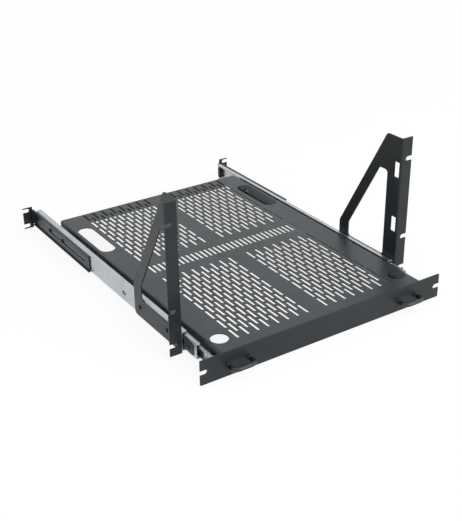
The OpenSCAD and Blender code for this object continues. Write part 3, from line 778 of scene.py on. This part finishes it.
@dataclass(frozen=True)
class FastenerRow:
    """Row of equal fasteners that stands for one node. The node's solids give their places."""

    node: str
    kind: FastenerKind
    facing: Facing
    body: str
    finish: Finish
    side: Side | None = None
    shank_d: float = 4.0
    pitch: float = 0.7
    thread_h: float = 0.24
    run_out: float = 0.8
    tip_h: float = 0.6
    rooted: float = 0.4
    turn_rows: int = 4
    least_rows: int = 6
    recess: CrossRecess = CrossRecess()
    head_steps: int = 18
    head_segments: int = 40
    shank_segments: int = 16
    nut_w: float = 7.0
    nut_corner: float = 0.48
    nut_slope: float = 1.7
    bore_play: float = 0.02
    bore_thread: float = 0.2
    bore_steps: int = 13
    nut_rows: tuple[float, ...] = (0.0, 0.06, 0.12, 0.2, 0.5, 0.8, 0.88, 0.94, 1.0)
    nut_segments: int = 48
    rivet_shank_r: float = 1.5
    rivet_head_h: float = 0.8
    rivet_rim_h: float = 0.15
    rivet_ease: float = 0.2
    rivet_steps: int = 8
    rivet_segments: int = 32

    def wave(self, z: Array, a: Array) -> Array:
        """Gives the thread's triangle wave, from 0 to 1, of z / pitch - a / turn."""
        return np.abs(((z / self.pitch - a / TURN) % 1.0) * 2.0 - 1.0)

    def thread(self, length: float) -> Array:
        """Gives a threaded shank: r = R - T w, where w is the thread's wave and T its height.

        Args:
            length: Length of the shank from Z = 0.

        Returns:
            Grid with both ends closed and a small chamfer at its tip.
        """
        rows = max(int(length / self.pitch * self.turn_rows), self.least_rows)
        z = np.linspace(0.0, length, rows)[:, None]
        a = angles(self.shank_segments)[None, :]
        crest = self.shank_d / 2
        r = crest - self.thread_h * self.wave(z, a) * smooth_step((length - z) / self.run_out)
        r = np.minimum(r, crest - self.tip_h + z)
        wall = wound(r, a, z)
        return np.concatenate([wall[:1] * UP, wall, wall[-1:] * UP])

    def head(self, radius: float, top: float) -> Array:
        """Gives a driven head: a profile turned about Z, whose top is sunk by the cross recess.

        The profile runs out under the head, up its eased rim, and over a top that falls from the
        middle by the square of the radius.

        Args:
            radius: Outer radius of the head.
            top: Height of the head's top.

        Returns:
            Grid from the shank, round the rim, to the middle of the top.
        """
        form = HEADS[self.kind]
        share, offset, z = np.array(form.rim).T
        under = [[0.0, -form.height], [self.shank_d / 2, -form.height]]
        rim = np.concatenate([under, np.stack([radius * share + offset, z], axis=-1)])
        inner = np.linspace(rim[-1, 0], 0.0, self.head_steps)[1:]
        rise = rim[-1, 1] * (inner / rim[-1, 0]) ** 2
        profile = np.concatenate([rim, np.stack([inner, rise], axis=-1)]) + [0.0, top]
        grid = revolved(profile, self.head_segments)
        grid[len(rim):, :, 2] -= self.recess.depths(grid[len(rim):])
        return grid

    def nut(self, height: float) -> Array:
        """Gives a chamfered hexagon nut with a threaded bore.

        The outside is r = min(f / 2 / cos(a mod 60 - 30 degrees), k f + m e), where f is the width
        across flats and e the distance from the nearer face. The bore is R + play + t w, where w is
        the thread's wave.

        Args:
            height: Height of the nut.

        Returns:
            Grid whose last row joins the first.
        """
        a = angles(self.nut_segments)[None, :]
        z = height * np.array(self.nut_rows)[:, None]
        flat = self.nut_w / 2 / np.cos(a % (TURN / 6) - TURN / 12)
        chamfer = self.nut_corner * self.nut_w + self.nut_slope * np.minimum(z, height - z)
        bore_z = np.linspace(height, 0.0, self.bore_steps)[:, None]
        bore = self.shank_d / 2 + self.bore_play + self.bore_thread * self.wave(bore_z, a)
        r = np.concatenate([np.minimum(flat, chamfer), bore])
        return wound(r, a, np.concatenate([z, bore_z]))

    def rivet(self, length: float, radius: float) -> Array:
        """Gives a rivet: a plain shank and a low head, a straight rim under a quarter ellipse.

        Args:
            length: Its whole length.
            radius: Radius of its head.

        Returns:
            Grid from the shank's end to the middle of the head.
        """
        shank, ease, rim = self.rivet_shank_r, self.rivet_ease, self.rivet_rim_h
        under = length - self.rivet_head_h
        bend = np.linspace(0.0, QUARTER, self.rivet_steps)
        rise = under + rim + (self.rivet_head_h - rim) * np.sin(bend)
        dome = np.stack([radius * np.cos(bend), rise], axis=-1)
        dome[-1, 0] = 0.0
        stem = [[0.0, 0.0], [shank - ease, 0.0], [shank, ease], [shank, under], [radius, under]]
        return revolved(np.concatenate([stem, dome]), self.rivet_segments)

    def one(self, length: float, radius: float) -> Shell:
        """Makes one fastener along Z.

        Args:
            length: Its whole length.
            radius: Its largest radius.

        Returns:
            Its shell, from Z = 0 to Z = length, where a head has its top.
        """
        if self.kind is FastenerKind.NUT:
            return Shell().add(self.nut(length), ring=True)
        if self.kind is FastenerKind.RIVET:
            return Shell().add(self.rivet(length, radius))
        if self.kind is FastenerKind.STUD:
            return Shell().add(self.thread(length))
        shank = Shell().add(self.thread(length - HEADS[self.kind].height + self.rooted))
        return shank.add(self.head(radius, length))

    def build(self) -> None:
        """Makes the row as one piece and dresses it. A stud has its tip where a head would be."""
        axis = self.facing.axis(self.side)
        along = 0 if self.facing is Facing.REARWARD else 1
        column = int(np.argmax(np.abs(axis)))
        if self.kind is FastenerKind.STUD:
            axis = -axis
        shell = Shell()
        for low, high in islands(node_points(self.node), along):
            origin = (low + high) / 2
            length = float(high[column] - low[column])
            origin[column] = low[column] if axis[column] > 0 else high[column]
            radius = float(high[2] - low[2]) / 2
            shell.join(self.one(length, radius).placed(axis, origin))
        dress(shell.piece(f"{self.node}_turned"), self.finish, self.body, self.node)


# Parts inside the slides


@dataclass(frozen=True)
class BallRow:
    """The 16 bearing balls of one cage, in an upper and a lower row."""

    node: str
    body: str
    ball_d: float = 3.0
    steps: int = 13
    segments: int = 20

    def build(self) -> None:
        """Makes each ball as a turned half circle, r = R sin t, h = -R cos t, and dresses them."""
        radius = self.ball_d / 2
        t = np.linspace(0.0, TURN / 2, self.steps)
        half_circle = np.stack([radius * np.sin(t), -radius * np.cos(t)], axis=-1)
        ball = revolved(half_circle, self.segments)
        shell = Shell()
        for low, high in islands(node_points(self.node), 1):
            middle = (low + high) / 2
            for z in (low[2] + radius, high[2] - radius):
                shell.add(ball + [middle[0], middle[1], z])
        dress(shell.piece(f"{self.node}_polished"), BALL_STEEL, self.body, self.node)


@dataclass(frozen=True)
class StopPad:
    """Plastic stop pad on a middle member: a low cushion with eased edges and its snap post."""

    side: Side
    pad_h: float = 21.0
    pad_t: float = 1.4
    pad_len: float = 14.0
    pad_ease: float = 0.45
    post_d: float = 6.0
    post_ease: float = 0.5
    post_corner: float = 0.15
    post_segments: int = 32
    rooted: float = 0.3

    def build(self) -> None:
        """Makes the pad on the outboard face and the post through the web, and dresses them."""
        low, high = node_box(self.side.named("stop_pad"))
        outward = self.side.value
        axis = np.array([outward, 0.0, 0.0])
        middle = (low + high) / 2
        tail, face = (low[0], high[0]) if outward > 0 else (high[0], low[0])
        seat = face - outward * self.pad_t
        half = np.array([self.pad_h / 2, self.pad_len / 2, self.pad_t])
        pad = Shell().add(rounded_block(half, self.pad_ease))
        shell = pad.placed(axis, np.array([seat, middle[1], middle[2]]))
        length = abs(seat - tail) + self.rooted
        r, ease, corner = self.post_d / 2, self.post_ease, self.post_corner
        post = np.array([[0.0, 0.0], [r - ease, 0.0], [r - corner, corner], [r, ease], [r, length],
                         [0.0, length]])
        root = np.array([tail, middle[1], middle[2]])
        shell.join(Shell().add(revolved(post, self.post_segments)).placed(axis, root))
        piece = shell.piece(self.side.named("stop_cushion"))
        dress(piece, BLACK_PLASTIC, self.side.named("middle"), self.side.named("stop_pad"))


@dataclass(frozen=True)
class RearBumper:
    """Rubber bumper in the rear end of an outer member, with two grooves round it."""

    side: Side
    edge: float = 0.9
    edge_steps: int = 12
    groove: float = 0.35
    groove_places: Pair = (0.35, 0.65)
    groove_width: float = 0.06

    def build(self) -> None:
        """Makes the block, draws it in by two bell-shaped grooves round it, and dresses it."""
        low, high = node_box(self.side.named("rear_bumper"))
        size = high - low
        half = np.array([size[2] / 2, size[0] / 2, size[1]])
        grid = rounded_block(half, self.edge, self.edge_steps)
        z = grid[..., 2:] / size[1]
        wave = sum(np.exp(-(((z - at) / self.groove_width) ** 2)) for at in self.groove_places)
        radius = np.linalg.norm(grid[..., :2], axis=-1, keepdims=True)
        grid[..., :2] *= 1.0 - self.groove * wave / np.maximum(radius, 1.0)
        origin = np.array([(low[0] + high[0]) / 2, low[1], (low[2] + high[2]) / 2])
        shell = Shell().add(grid).placed(REARWARD, origin)
        piece = shell.piece(self.side.named("rubber_stop"))
        dress(piece, BLACK_RUBBER, "rack_side", self.side.named("rear_bumper"))


@dataclass(frozen=True)
class ReleaseLever:
    """Plastic release lever of an inner member: a tapered paddle with a hub and finger ribs."""

    side: Side
    length: float = 56.0
    height: float = 9.0
    tip_h: float = 6.0
    flat_share: float = 0.25
    corner_power: float = 14.0
    thick: float = 2.4
    ease: float = 0.3
    bore_d: float = 3.5
    hub_d: float = 6.6
    hub_slope: float = 0.9
    rib_h: float = 0.35
    rib_half_w: float = 0.5
    rib_pitch: float = 2.5
    rib_margin: float = 0.75
    rib_root: float = 0.5
    rib_edge: float = 0.2
    rib_steps: int = 4
    rib_segments: int = 32
    first_rib: float = 13.0
    rib_count: int = 5
    back_steps: int = 4
    segments: int = 144

    def outline(self, a: Array) -> Array:
        """Gives the outline's radius from the pivot.

        Each straight side has a normal at angle p and a distance d. The radius is the sum over the
        sides of (max(cos(a - p), 0) / d)^n, to the power -1/n, which rounds the corners.

        Args:
            a: Angles.

        Returns:
            The radius at each angle.
        """
        tip, flat = self.length / 2, self.height / 2
        slope = math.atan2(flat - self.tip_h / 2, tip * (1.0 - self.flat_share))
        slant = tip * self.flat_share * math.sin(slope) + flat * math.cos(slope)
        sides = [(0.0, tip), (TURN / 2, tip), (QUARTER, flat), (-QUARTER, flat)]
        sides += [(s * (QUARTER + k * slope), slant) for s in (-1.0, 1.0) for k in (-1.0, 1.0)]
        normal, distance = np.array(sides).T
        reach = np.maximum(np.cos(a[..., None] - normal), 0.0) / distance
        return np.sum(reach**self.corner_power, axis=-1) ** (-1.0 / self.corner_power)

    def plate(self) -> Array:
        """Gives the lever as a ring about its bore, whose outer face falls by a smooth step.

        The ring runs out over the hub and its slope to the outline, down the eased edge, and back
        along the flat inner face.

        Returns:
            Grid whose last row joins the first. X is along the lever, Y is up and Z its thickness.
        """
        a = angles(self.segments)
        bore, hub, rim = self.bore_d / 2, self.hub_d / 2, self.outline(a)
        foot, ease, corner = hub + self.hub_slope, self.ease, self.ease / 3
        share = np.linspace(0.0, 1.0, 16)[:, None] + 0.0 * a
        face_r = np.concatenate([
            bore + (hub - bore) * share[::5],
            hub + self.hub_slope * share[1::2],
            foot + (rim - ease - foot) * share[3::3],
        ])
        top_z = self.thick - self.rib_h * smooth_step((face_r - hub) / self.hub_slope)
        face = self.thick - self.rib_h
        side_z = np.array([face - corner, face - ease, ease, corner])[:, None] + 0.0 * a
        side_r = np.stack([rim - corner, rim, rim, rim - corner])
        back_r = bore + (rim - ease - bore) * np.linspace(1.0, 0.0, self.back_steps)[:, None]
        r = np.concatenate([face_r, side_r, back_r])
        return wound(r, a, np.concatenate([top_z, side_z, 0.0 * back_r]))

    def ribs(self) -> list[Array]:
        """Gives the finger ribs: low bars across the outer face, whose length follows the taper.

        Returns:
            One closed grid for each rib, in the plate's axes.
        """
        tip = self.length / 2
        taper = (self.height - self.tip_h) / 2 / (tip * (1.0 - self.flat_share))
        root = self.thick - self.rib_h - self.rib_root
        bars = []
        for x in self.first_rib + self.rib_pitch * np.arange(self.rib_count):
            half = self.height / 2 - taper * (x - tip * self.flat_share) - self.rib_margin
            size = np.array([self.rib_half_w, half, self.rib_h + self.rib_root])
            bar = rounded_block(size, self.rib_edge, self.rib_steps, self.rib_segments)
            bars += [bar + [end * x, 0.0, root] for end in (-1.0, 1.0)]
        return bars

    def build(self) -> None:
        """Makes the lever, with its ribs away from the tray, and dresses it."""
        low, high = node_box(self.side.named("release_lever"))
        outward = self.side.value
        shell = Shell().add(self.plate(), ring=True)
        for bar in self.ribs():
            shell.add(bar)
        middle = (low + high) / 2
        seat = low[0] if outward > 0 else high[0]
        origin = np.array([seat, middle[1], middle[2]])
        shell.points = [p[:, [2, 0, 1]] * [outward, 1.0, 1.0] + origin for p in shell.points]
        piece = shell.piece(self.side.named("ribbed_lever"))
        dress(piece, BLACK_PLASTIC, self.side.named("lever"), self.side.named("release_lever"))


# Folded and rolled steel


@dataclass(frozen=True)
class EasedSheet:
    """Sheet or rolled piece whose edges get the small round that tumbling and coating leave."""

    node: str
    body: str
    finish: Finish
    edge: float
    merge_m: float = 2e-6
    flat_deg: float = 0.6
    sharp_deg: float = 42.0
    steps: int = 2
    face_weight: int = 90

    def build(self) -> None:
        """Copies the node's mesh, merges it, rounds its sharp edges with a bevel and dresses it."""
        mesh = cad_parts[self.node].data.copy()
        mesh.name = f"{self.node}_eased"
        shape = bmesh.new()
        shape.from_mesh(mesh)
        bmesh.ops.remove_doubles(shape, verts=shape.verts, dist=self.merge_m)
        bmesh.ops.dissolve_limit(
            shape, angle_limit=math.radians(self.flat_deg), verts=shape.verts, edges=shape.edges)
        settle(shape, mesh)
        piece = linked(mesh.name, mesh)
        bevel = piece.modifiers.new("eased_edges", "BEVEL")
        bevel.width = self.edge * MM
        bevel.segments = self.steps
        bevel.limit_method = "ANGLE"
        bevel.angle_limit = math.radians(self.sharp_deg)
        piece.modifiers.new("flat_faces", "WEIGHTED_NORMAL").weight = self.face_weight
        dress(piece, self.finish, self.body, self.node)


@dataclass(frozen=True)
class FoldedTray:
    """Vented tray: its deck, skirts and end flanges keep their shape and get the powder coat in its
    lighter tone, which is a painted sheen.
    """

    nodes: tuple[str, ...] = (
        "tray", "tray_skirt_left", "tray_skirt_right", "tray_front_flange", "tray_rear_flange")

    def build(self) -> None:
        """Dresses each of the tray's nodes."""
        for node in self.nodes:
            dress(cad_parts[node], TRAY_COAT_PAINTED_SHEEN, None)


@dataclass(frozen=True)
class TelescopicSlide:
    """One side's slide: three members, two cages, balls, pad, bumper, lever and rivet."""

    side: Side
    edge: float = 0.22

    def build(self) -> None:
        """Builds the slide's pieces, the members first and the rivet last."""
        side = self.side
        for member, body in (("outer", "rack_side"), ("middle", side.named("middle")),
                             ("inner", "shelf")):
            EasedSheet(side.named(f"slide_{member}"), body, SLIDE_ZINC, self.edge).build()
        for ring in ("outer", "inner"):
            cage = side.named(f"{ring}_cage")
            dress(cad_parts[cage], CAGE_STEEL, None)
            BallRow(side.named(f"{ring}_balls"), cage).build()
        StopPad(side).build()
        RearBumper(side).build()
        ReleaseLever(side).build()
        FastenerRow(side.named("lever_rivet"), FastenerKind.RIVET, Facing.OUTWARD, "shelf",
                    BRIGHT_FASTENER, side).build()


@dataclass(frozen=True)
class RackBrackets:
    """One side's front and rear brackets with the fasteners that hold the slide to them."""

    side: Side
    edge: float = 0.35

    def build(self) -> None:
        """Builds the brackets and their fasteners."""
        side = self.side
        for bracket, body in (("front_bracket", "rack_side"),
                              ("rear_bracket", side.named("rear_bracket"))):
            EasedSheet(side.named(bracket), body, BRACKET_COAT_PAINTED_SHADE, self.edge).build()
        for base, kind, facing in (
            ("bracket_screws", FastenerKind.FLUSH, Facing.INWARD),
            ("bracket_nuts", FastenerKind.NUT, Facing.OUTWARD),
            ("clamp_bolts", FastenerKind.FLUSH, Facing.INWARD),
            ("clamp_nuts", FastenerKind.NUT, Facing.OUTWARD),
        ):
            FastenerRow(side.named(base), kind, facing, "rack_side", BLACK_FASTENER, side).build()


@dataclass(frozen=True)
class ShelfFront:
    """Front panel with its handles and the fasteners that join panel, tray and inner members."""

    edge: float = 0.4

    def build(self) -> None:
        """Builds the panel, the handles and the fasteners."""
        EasedSheet("front_panel", "shelf", PANEL_COAT_PAINTED_SHADE, self.edge).build()
        for side in Side:
            BowHandle(side).build()
            for base, kind, facing in (
                ("slide_screws", FastenerKind.PAN, Facing.OUTWARD),
                ("slide_nuts", FastenerKind.NUT, Facing.INWARD),
            ):
                FastenerRow(side.named(base), kind, facing, "shelf", BRIGHT_FASTENER, side).build()
        for node, kind in (("handle_screws", FastenerKind.PAN), ("panel_studs", FastenerKind.STUD),
                           ("panel_nuts", FastenerKind.NUT)):
            FastenerRow(node, kind, Facing.REARWARD, "shelf", BRIGHT_FASTENER).build()


# Studio


@dataclass(frozen=True)
class SoftLamp:
    """Square soft lamp: its name, its place and side in metres, and its power in watts."""

    name: str
    place: Triple
    size: float
    power: float

    def hang(self, aim: Triple) -> None:
        """Hangs the lamp so that it looks at a point.

        Args:
            aim: The point.
        """
        data = bpy.data.lights.new(self.name, "AREA")
        data.shape, data.size, data.energy = "SQUARE", self.size, self.power
        lamp = linked(self.name, data)
        lamp.location = self.place
        way = Vector(aim) - Vector(self.place)
        lamp.rotation_euler = way.to_track_quat("-Z", "Y").to_euler()


@dataclass(frozen=True)
class Studio:
    """Pale floor, even white surroundings, soft lamps, and the camera at the photograph's place."""

    eye: Triple = (-0.8617, -1.1283, 0.8355)
    heading_deg: float = 33.14
    down_deg: float = 27.33
    roll_deg: float = -0.73
    focal_px: float = 976.2
    image_px: tuple[int, int] = (462, 521)
    sensor_mm: float = 36.0
    clip_m: Pair = (0.05, 30.0)
    world_level: float = 0.80
    floor_half: float = 12.0
    floor_tone: float = 0.88
    floor_glow_share: float = 0.88
    fade: Pair = (1.1, 2.6)
    aim: Triple = (0.0, 0.2, 0.05)
    lamps: tuple[SoftLamp, ...] = (
        SoftLamp("key_lamp", (-1.2, -0.8, 2.0), 1.4, 12.0),
        SoftLamp("fill_lamp", (1.9, -0.4, 1.7), 1.4, 9.0),
        SoftLamp("front_lamp", (1.0, -3.0, 1.3), 3.0, 90.0),
    )

    def seen_directly(self, tree: Tree) -> Socket:
        """Gives 1 for camera, glossy and transmission rays, and 0 for the rest.

        Args:
            tree: Node tree of a material or the world.

        Returns:
            The share.
        """
        path = tree.nodes.new("ShaderNodeLightPath")
        share = path.outputs["Is Camera Ray"]
        for name in ("Is Glossy Ray", "Is Transmission Ray"):
            node = tree.nodes.new("ShaderNodeMath")
            node.operation = "MAXIMUM"
            tree.links.new(share, node.inputs[0])
            tree.links.new(path.outputs[name], node.inputs[1])
            share = node.outputs[0]
        return share

    def whitening(self, tree: Tree) -> Socket:
        """Gives the floor's share of glow, which rises to 1 far out so that no horizon shows.

        Args:
            tree: Node tree of the floor's material.

        Returns:
            The share.
        """
        distance = tree.nodes.new("ShaderNodeVectorMath")
        distance.operation = "LENGTH"
        tree.links.new(tree.nodes.new("ShaderNodeTexCoord").outputs["Object"], distance.inputs[0])
        rise = map_range(tree, distance.outputs["Value"], self.fade, (self.floor_glow_share, 1.0))
        rise.interpolation_type = "SMOOTHSTEP"
        return rise.outputs["Result"]

    def camera(self) -> None:
        """Places the camera: F is forward by heading and dip, and level right is rolled about F."""
        yaw, down = math.radians(self.heading_deg), math.radians(self.down_deg)
        roll, level = math.radians(self.roll_deg), math.cos(down)
        forward = Vector((math.sin(yaw) * level, math.cos(yaw) * level, -math.sin(down)))
        right = Vector((math.cos(yaw), -math.sin(yaw), 0.0))
        up = right.cross(forward)
        across = math.cos(roll) * right + math.sin(roll) * up
        above = -math.sin(roll) * right + math.cos(roll) * up
        data = bpy.data.cameras.new("photo_camera")
        data.sensor_fit = "AUTO"
        data.sensor_width = self.sensor_mm
        data.lens = self.focal_px * self.sensor_mm / max(self.image_px)
        data.clip_start, data.clip_end = self.clip_m
        camera = linked("photo_camera", data)
        turn = Matrix((across, above, -forward)).transposed().to_4x4()
        camera.matrix_world = Matrix.Translation(self.eye) @ turn
        bpy.context.scene.camera = camera

    def floor(self) -> None:
        """Lays a pale floor under the lowest point. Looked at directly, it mostly glows white."""
        z, half = float(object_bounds()[0][2]), self.floor_half
        mesh = bpy.data.meshes.new("studio_floor")
        rim = [(-half, -half, z), (half, -half, z), (half, half, z), (-half, half, z)]
        mesh.from_pydata(rim, [], [(0, 1, 2, 3)])
        floor = linked("studio_floor", mesh)
        material = bpy.data.materials.new("studio_floor")
        material.use_nodes = True
        tree = material.node_tree
        tree.nodes.clear()
        matte = tree.nodes.new("ShaderNodeBsdfDiffuse")
        matte.inputs["Color"].default_value = (self.floor_tone,) * 3 + (1.0,)
        glow = tree.nodes.new("ShaderNodeEmission")
        share = tree.nodes.new("ShaderNodeMath")
        share.operation = "MULTIPLY"
        mix = tree.nodes.new("ShaderNodeMixShader")
        output = tree.nodes.new("ShaderNodeOutputMaterial")
        for source, target in (
            (self.seen_directly(tree), share.inputs[0]), (self.whitening(tree), share.inputs[1]),
            (share.outputs[0], mix.inputs[0]), (matte.outputs[0], mix.inputs[1]),
            (glow.outputs[0], mix.inputs[2]), (mix.outputs[0], output.inputs["Surface"]),
        ):
            tree.links.new(source, target)
        mesh.materials.append(material)
        floor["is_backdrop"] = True

    def surroundings(self) -> None:
        """Sets a world that is white where it is looked at and lights evenly elsewhere."""
        world = bpy.data.worlds.new("studio")
        world.use_nodes = True
        tree = world.node_tree
        background = tree.nodes["Background"]
        background.inputs["Color"].default_value = (1.0, 1.0, 1.0, 1.0)
        level = map_range(tree, self.seen_directly(tree), (0.0, 1.0), (self.world_level, 1.0))
        tree.links.new(level.outputs["Result"], background.inputs["Strength"])
        bpy.context.scene.world = world

    def build(self) -> None:
        """Sets the camera, floor, surroundings, lamps and the plain view."""
        self.camera()
        self.floor()
        self.surroundings()
        for lamp in self.lamps:
            lamp.hang(self.aim)
        bpy.context.scene.view_settings.view_transform = "Standard"


def main() -> None:
    """Builds the shelf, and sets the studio."""
    logging.basicConfig(level=logging.INFO, format="%(name)s %(message)s")
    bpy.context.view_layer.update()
    FoldedTray().build()
    ShelfFront().build()
    for side in Side:
        TelescopicSlide(side).build()
        RackBrackets(side).build()
    Studio().build()


if __name__ == "__main__":
    main()
